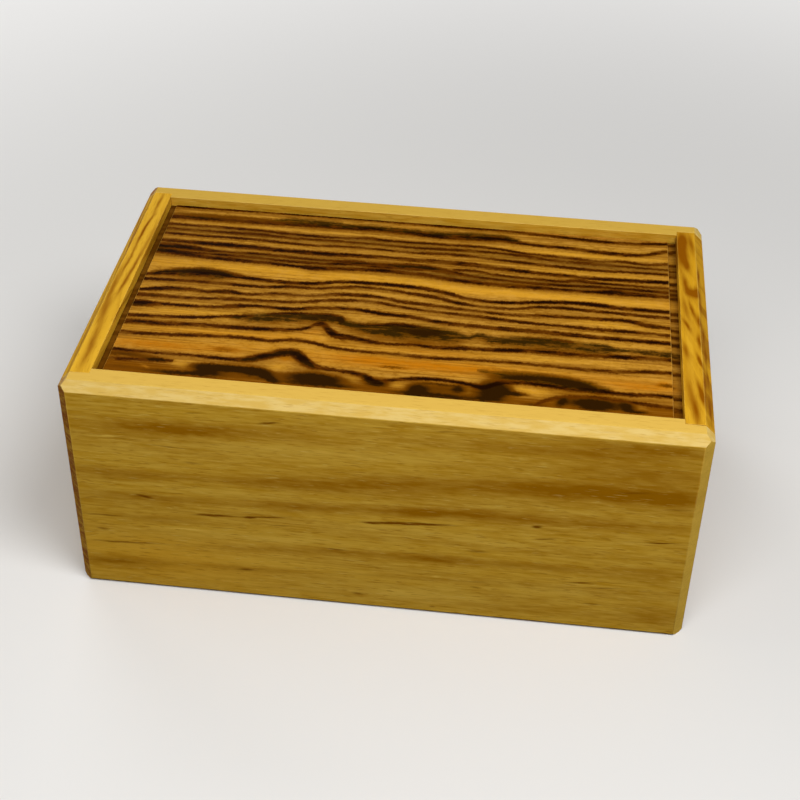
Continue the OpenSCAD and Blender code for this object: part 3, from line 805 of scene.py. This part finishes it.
# Clean stretches of orange wood: middle across and back, half length, half width, rise, strength.
lid_clean = [
    (-30, 10.3, 60, 2.1, 0, 0.8), (35, 8.3, 45, 2.1, 0, 1.15), (0, -21.3, 90, 2.2, 0, 0.3),
    (-40, -16.4, 30, 1.2, 0.03, 0.6), (30, -16.6, 30, 1.2, 0.02, 0.6), (42, 27, 24, 1, 0, 0.8),
    (-30, 28.4, 34, 0.9, 0, 0.5), (48, 19.2, 22, 1.2, 0, 0.7), (-30, 20.9, 34, 0.7, 0, 0.4),
    (-50, -10, 14, 1.3, 0.05, 0.6), (48, -1.4, 14, 1, -0.03, 0.7), (31, -28.8, 5, 2.2, 0, 0.9),
    (-8, -30, 2.2, 1.4, 0, 0.8), (2.3, -30.2, 2.6, 1.2, 0, 0.8), (18, -30.6, 1.6, 1.3, 0, 0.9),
    (-44, -29.5, 3, 1.7, 0, 0.7), (-24, -28, 2.6, 1.5, 0, 0.7), (-52, -31.5, 1.4, 0.5, -0.6, 0.8),
    (53.5, -31.3, 1.8, 0.7, 0, 0.8), (35, -28, 24, 0.5, 0, 0.5),
]

# Dark clouds around knots and where lines run together, drawn the same way.
lid_dark_clouds = [
    (-48, 7, 6, 1.3, 0, 1.2), (-54.5, 6, 4.5, 0.8, 0.12, 0.8), (-43.5, 6.4, 4, 0.9, -0.05, 0.8),
    (-57, 16.8, 7, 0.8, 0, 1.3), (-59, 14.8, 5, 0.9, -0.06, 1.3), (-13, 15.8, 4, 0.7, 0, 0.8),
    (-2, 15.9, 6.5, 0.9, 0, 0.9), (5, 15.7, 5, 0.9, -0.1, 0.9), (24, 11.7, 6, 0.6, -0.02, 0.6),
    (48, 12, 5, 0.7, 0, 0.9), (-45, 32, 18, 0.8, 0, 0.5), (-53, 30.5, 10, 0.8, 0, 0.9),
    (-30, 31.2, 8, 0.8, 0.05, 0.6), (-13.2, -8.3, 0.9, 1.2, -0.3, 1.3), (-37.8, -6, 1.6, 0.6, 0, 0.8),
    (5, -10.6, 4.5, 1.3, 0, 0.85), (28, -24.2, 5, 1.3, 0, 0.55), (34, -23.9, 5.5, 1.5, 0, 0.6),
    (40, -24.9, 4.5, 1.5, -0.12, 1.1), (43.5, -26.2, 2.6, 0.9, -0.3, 0.9),
    (-28.5, -24.6, 3, 1, 0.45, 1.1), (-31.2, -25.7, 2, 0.7, 0.25, 0.9),
    (-24.6, -22.7, 2.2, 0.9, 0.3, 1), (-17.2, -25.6, 1.6, 0.9, -0.8, 1.1),
    (-22.6, -22, 2.6, 0.8, 0, 1.2), (-19.6, -23.8, 1.9, 1.5, -1, 1.3), (-58, -27.5, 6.5, 1.3, 0, 0.7),
    (-50.3, -28.5, 2.4, 0.65, -0.05, 1.4), (-44, -32.5, 8, 1, 0.02, 1.1), (-58, -31.8, 6, 1.2, 0, 0.4),
    (-37.5, -29.4, 4.5, 1.1, 0, 1.4), (-39, -31, 2.3, 1.4, 0, 1.2), (-32, -29.4, 3.5, 0.9, 0, 1.2),
    (-28, -30, 2.9, 1.4, -0.1, 1.4), (-25, -32, 2.2, 1.1, -0.5, 1.2), (-15.7, -30.3, 5.2, 1.6, 0, 1.4),
    (-14, -32.4, 8, 0.8, 0, 0.8), (-2.2, -30.2, 2.2, 1.3, -0.1, 1.3),
    (-4.5, -28.7, 1.8, 0.9, -0.6, 1.1), (6.6, -31.4, 1.9, 1.7, 0, 1.3), (11, -30.6, 6.5, 1.7, 0, 0.6),
    (11, -28.9, 5, 0.45, 0, 0.6), (15.2, -30, 1.2, 1.1, 0, 0.9), (10, -32.9, 10, 0.9, 0, 1.2),
    (23, -28.9, 2.9, 2.4, 0, 1.5), (26.8, -29.9, 3, 0.7, 0, 0.9), (22, -32.4, 3, 1.2, 0, 0.7),
    (44, -31.4, 4.2, 1.9, 0, 1.35), (37.2, -31.6, 1.2, 1.8, 0.8, 0.9), (51, -31.3, 1.5, 1.7, -0.4, 0.9),
    (44.5, -31, 11, 2.1, 0, 0.5), (53.5, -32.7, 2, 0.55, 0, 0.9), (31.5, -33, 3.5, 0.7, 0, 0.6),
    (-33.5, -30.4, 8, 2.2, 0, 0.45), (-15, -31.2, 8, 2.2, 0, 0.5), (22.5, -30, 4.5, 3.2, 0, 0.5),
    (28, -24, 9, 1.9, 0, 0.4), (59.5, -22.6, 2.2, 0.8, 0, 0.5), (-37, -22.7, 3.4, 0.9, 0, 0.32),
    (0.5, -24.2, 3.4, 0.55, 0, 0.42), (-59.5, -8.2, 4, 0.8, 0, 0.9), (-58, -15, 6, 0.8, 0, 0.85),
    (-57, -4.2, 4.5, 0.6, 0, 0.8), (-52, -0.8, 3.6, 0.7, 0, 0.8), (-41, -0.4, 3, 0.7, 0, 0.8),
    (-14.6, -12.9, 2.8, 0.8, -0.9, 1), (-17, -7.6, 4.5, 1.2, 0.05, 0.9), (1, -9.2, 9, 1, 0.02, 0.5),
    (7, -10.8, 5.5, 1.4, 0, 0.55), (35, -9.9, 5, 0.9, 0, 0.5), (57, -0.8, 3, 0.6, -0.1, 0.8),
    (27, -6.3, 6, 0.5, 0, 0.8),
]

# Amber clouds, drawn the same way.
lid_amber_clouds = [
    (0, -22.5, 70, 3.2, 0, 0.45), (-30, -16.6, 30, 1.6, 0.03, 0.4), (-52, -23, 10, 1.5, 0, 0.8),
    (-36.8, -22.7, 3, 0.8, 0, 1.2), (-5, -22.4, 8, 1.8, 0, 0.6), (13, -22.6, 14, 1.8, 0, 0.8),
    (1, -24.2, 3, 0.5, 0, 1), (54, -23.6, 8, 1.6, 0, 0.75), (58.6, -22.3, 1.3, 0.8, 0, 1.2),
    (-57, -31.6, 8, 1.3, 0, 1.1), (-33, -31.8, 3.4, 0.8, 0, 1), (-23, -24.3, 1.6, 0.8, 0, 0.8),
    (-18, -13.4, 3, 1, 0.2, 0.6), (8, -17.4, 12, 1, 0, 0.45), (-6, -32.2, 6, 0.7, 0, 0.8),
    (60, -32, 6, 1.2, 0, 0.6),
]

# One growth line that a curve leads across the board: a dark core, and a brown shade that trails off.
growth, at, out = effect(
    "Growth line",
    [("Across", "Float", 0.0), ("Middle", "Float", 0.0), ("Half width", "Float", 0.6)],
    [("Core", "Float"), ("Shade", "Float")],
)
off = calc(growth, "SUBTRACT", at["Across"], at["Middle"])
reach = scaled(growth, at["Half width"], 1.50, 0.55)
full = scaled(growth, at["Half width"], 0.60, -0.15)
feed(growth, out["Core"], fade(growth, calc(growth, "ABSOLUTE", off), reach, full))
trail = calc(growth, "ABSOLUTE", scaled(growth, at["Half width"], 0.7, off))
feed(growth, out["Shade"], fade(growth, trail, scaled(growth, at["Half width"], 2.6, 1.0), full))


def led_by(tree, lead, depth, points):
    """The middle, the half width and the depth of a line that follows the given points."""
    node = add(tree, "VectorCurve", {"Vector": lead})
    first, last = points[0][0], points[-1][0]
    starts = [(first, depth)] if first <= -lid_reach else [(first - 0.6, 0.0), (first + 1.0, depth)]
    stops = [(last, depth)] if last >= lid_reach else [(last - 1.0, depth), (last + 0.6, 0.0)]
    middles = [(x, y / lid_breadth) for x, y, half in points]
    halves = [(x, half / lid_breadth) for x, y, half in points]
    for curve, knots in zip(node.mapping.curves, (middles, halves, starts + stops)):
        curve.points[0].location = (knots[0][0] / lid_reach, knots[0][1])
        curve.points[1].location = (knots[-1][0] / lid_reach, knots[-1][1])
        for x, value in knots[1:-1]:
            curve.points.new(x / lid_reach, value)
    node.mapping.update()
    led = add(tree, "SeparateXYZ", {"Vector": node.outputs[0]}).outputs
    middle = times(tree, led["X"], lid_breadth)
    return middle, times(tree, led["Y"], lid_breadth), led["Z"]


def drawn(tree, lines, across, lead):
    """The darkest core and shade of a set of lines."""
    core, shade = 0.0, 0.0
    for depth, points in lines:
        middle, half, strength = led_by(tree, lead, depth, points)
        line = use(tree, growth, {"Across": across, "Middle": middle, "Half width": half})
        core = calc(tree, "MAXIMUM", core, times(tree, line["Core"], strength))
        shade = calc(tree, "MAXIMUM", shade, times(tree, line["Shade"], strength))
    return core, shade


def striped_board(name, number):
    """Orange wood with nearly black growth lines, smoky bands and amber clouds."""
    material, tree, surface = oiled(name, 0.003)
    place, axes, facing, _ = wood_place(tree, "X")
    figure = use(tree, fibre, {"Place": place, "Board": number})
    ragged = grain_noise(tree, place, (1.10, 0.60, 0.60), 4.0, 0.75)
    cloudy = grain_noise(tree, place, (0.35, 0.9, 0.9), 4.0, 0.65)
    lean = scaled(tree, calc(tree, "SUBTRACT", axes["Z"], lid_top), 0.45, axes["Y"])
    across = calc(tree, "ADD", lean, scaled(tree, ragged, 1.2, -0.60))
    alike = add(tree, "CombineXYZ", {axis: axes["X"] for axis in "XYZ"}).outputs[0]
    lead = add(tree, "VectorMath", operation="SCALE")
    feed(tree, lead.inputs[0], alike)
    lead.inputs["Scale"].default_value = 1 / lid_reach
    core, shade = drawn(tree, growth_lines, across, lead.outputs[0])
    wispy = calc(tree, "ADD", across, scaled(tree, cloudy, 3.0, -1.5))
    smoke, haze = drawn(tree, smoky_bands, wispy, lead.outputs[0])
    clean = marked(tree, lid_clean, axes["X"], across)
    amber = marked(tree, lid_amber_clouds, axes["X"], across)
    billowy = calc(tree, "ADD", across, scaled(tree, cloudy, 1.6, -0.8))
    clouds = marked(tree, lid_dark_clouds, axes["X"], billowy)
    faint = fade(tree, grain_noise(tree, place, (0.16, 0.5, 0.5), 3.0, 0.65), 0.34, 0.64)
    core = times(tree, core, scaled(tree, faint, 0.58, 0.50))
    unclean = calc(tree, "SUBTRACT", 1.0, times(tree, clean, 0.8))
    rim_wood = times(tree, fade(tree, across, -26.5, -32.5), times(tree, unclean, 0.80))
    hairlines = fade(tree, grain_noise(tree, place, (0.022, 1.7, 1.7), 3.0), 0.46, 0.64)
    hairlines = times(tree, times(tree, hairlines, 0.55), unclean)
    ground = calc(tree, "ADD", clean, times(tree, figure["Broad"], 0.4))
    mottle = grain_noise(tree, place, (0.55, 1.30, 1.30), 3.0, 0.65)
    colour = stain(tree, ground, lid_tan, lid_orange)
    colour = stain(tree, times(tree, fade(tree, mottle, 0.46, 0.70), 0.50), colour, lid_pale)
    dim = times(tree, fade(tree, mottle, 0.50, 0.30), times(tree, unclean, 0.50))
    colour = stain(tree, dim, colour, lid_brown)
    colour = stain(tree, times(tree, figure["Fine"], times(tree, unclean, 0.22)), colour, lid_brown)
    colour = stain(tree, times(tree, amber, scaled(tree, cloudy, 1.2, 0.2)), colour, lid_amber)
    colour = stain(tree, calc(tree, "ADD", hairlines, rim_wood), colour, lid_brown)
    colour = stain(tree, times(tree, figure["Pore"], 0.35), colour, lid_brown)
    colour = stain(tree, times(tree, shade, 0.50), colour, lid_brown)
    colour = stain(tree, times(tree, haze, 0.72), colour, lid_brown)
    wisps = fade(tree, grain_noise(tree, place, (0.14, 1.5, 1.5), 3.0, 0.6), 0.34, 0.62)
    patches = scaled(tree, fade(tree, cloudy, 0.34, 0.62), 0.55, scaled(tree, wisps, 0.45, 0.25))
    smoke = times(tree, smoke, patches)
    colour = stain(tree, smoke, colour, lid_smoke)
    clouds = times(tree, clouds, scaled(tree, cloudy, 0.8, 0.6))
    colour = stain(tree, fade(tree, clouds, 0.0, 0.5), colour, lid_brown, "DARKEN")
    colour = stain(tree, fade(tree, clouds, 0.15, 1.10), colour, lid_dark, "DARKEN")
    colour = stain(tree, fade(tree, core, 0.0, 0.65), colour, lid_line, "DARKEN")
    colour = stain(tree, fade(tree, core, 0.50, 1.06), colour, lid_black, "DARKEN")
    # The ledges below the raised field are painted darker, most on the left: painted shade.
    leftward_shade = scaled(tree, fade(tree, axes["X"], 0.0, -10.0), 0.50, 0.35)
    ledge_shade = times(tree, fade(tree, axes["Z"], lid_top - 0.3, lid_top - 0.6), leftward_shade)
    colour = stain(tree, ledge_shade, colour, lid_end_and_ledge_shade)
    weathered_and_highlit(tree, surface, colour, place, facing, lid_end_and_ledge_shade, lid_rubbed_and_highlit, 0.40)
    matt = scaled(tree, figure["Fine"], 0.12, 0.44)
    feed(tree, surface.inputs["Roughness"], scaled(tree, core, -0.06, matt))
    relief(tree, surface, figure["Height"], 0.05 * mm)
    return material


lid = eased("lid_panel", "striped_lid", lid_ease)
lid.data.materials.append(striped_board("striped lid wood", 14.0))
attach(lid, "sliding_lid")


# Floor, light and camera.
# A plain pale floor under a large soft lamp high on the right, weaker ones on the other sides and an even
# fill. The camera looks down on the front from the photograph's place.

floor_half = 3.0
floor_pale = (0.80, 0.79, 0.77, 1)
floor_bounce = (0.16, 0.155, 0.15, 1)
floor_distant = (0.74, 0.735, 0.725, 1)
floor_near = 0.12
floor_far = 0.42
backdrop = (0.86, 0.86, 0.85, 1)
fill = (0.09, 0.09, 0.09, 1)
lit_point = Vector((0, 0, 0.04))


def looked_at(tree):
    """1 where the camera sees a surface, straight or in a mirror."""
    ray = add(tree, "LightPath").outputs
    mirrored = calc(tree, "MAXIMUM", ray["Is Glossy Ray"], ray["Is Transmission Ray"])
    return calc(tree, "MAXIMUM", ray["Is Camera Ray"], mirrored)


def heading(turn, height):
    """The way from the object to a place that stands this far to the right of the front and this high."""
    level = math.cos(height)
    return Vector((math.sin(turn) * level, -math.cos(turn) * level, math.sin(height)))


sweep = bpy.data.meshes.new("pale_floor")
corners = [(x * floor_half, y * floor_half, 0) for x, y in ((-1, -1), (1, -1), (1, 1), (-1, 1))]
sweep.from_pydata(corners, [], [(0, 1, 2, 3)])
floor = bpy.data.objects.new("pale_floor", sweep)
bpy.context.scene.collection.objects.link(floor)
material, tree, surface = oiled("pale floor", 0.1)
seen = looked_at(tree)
spot = add(tree, "TexCoord").outputs["Object"]
away = add(tree, "VectorMath", {"Vector": spot}, operation="LENGTH").outputs["Value"]
distant = fade(tree, away, floor_near, floor_far)
near = times(tree, seen, calc(tree, "SUBTRACT", 1.0, distant))
feed(tree, surface.inputs["Base Color"], stain(tree, near, floor_bounce, floor_pale))
glow = times(tree, seen, distant)
feed(tree, surface.inputs["Emission Color"], stain(tree, glow, (0, 0, 0, 1), floor_distant))
surface.inputs["Emission Strength"].default_value = 1.0
surface.inputs["Roughness"].default_value = 0.9
floor.data.materials.append(material)

# Each lamp: turn to the right of the front, height, distance, width, power.
lamps = {
    "key_lamp": (46, 58, 0.50, 0.26, 1.74),
    "front_lamp": (-6, 52, 0.40, 0.20, 0.53),
    "left_lamp": (-95, 15, 0.55, 0.35, 0.50),
    "back_lamp": (215, 30, 0.55, 0.35, 0.75),
}
for name, (turn, height, away, width, power) in lamps.items():
    lamp_data = bpy.data.lights.new(name, "AREA")
    lamp_data.shape = "DISK"
    lamp_data.size = width
    lamp_data.energy = power
    lamp = bpy.data.objects.new(name, lamp_data)
    towards = heading(math.radians(turn), math.radians(height))
    lamp.location = lit_point + towards * away
    lamp.rotation_mode = "QUATERNION"
    lamp.rotation_quaternion = towards.to_track_quat("Z", "Y")
    bpy.context.scene.collection.objects.link(lamp)

world = bpy.data.worlds.new("even fill")
bpy.context.scene.world = world
world.use_nodes = True
tree = world.node_tree
seen = looked_at(tree)
behind = tree.nodes["Background"]
feed(tree, behind.inputs["Color"], stain(tree, seen, fill, backdrop))

view_turn = math.radians(5.9931)
view_height = math.radians(37.8508)
view_roll = math.radians(1.1984)
view_away = 367.526 * mm
view_target = Vector((-0.132, -1.478, 28.5)) * mm
view_lens = 69.41

camera_data = bpy.data.cameras.new("camera")
camera_data.lens = view_lens
camera_data.sensor_width = 36.0
camera_data.clip_start = 0.01
camera = bpy.data.objects.new("camera", camera_data)
bpy.context.scene.collection.objects.link(camera)
back = heading(view_turn, view_height)
level = Vector((math.cos(view_turn), math.sin(view_turn), 0))
upright = back.cross(level)
right = math.cos(view_roll) * level + math.sin(view_roll) * upright
up = math.cos(view_roll) * upright - math.sin(view_roll) * level
stand = Matrix.Translation(view_target + back * view_away)
camera.matrix_world = stand @ Matrix((right, up, back)).transposed().to_4x4()
bpy.context.scene.camera = camera
bpy.context.scene.view_settings.view_transform = "Standard"
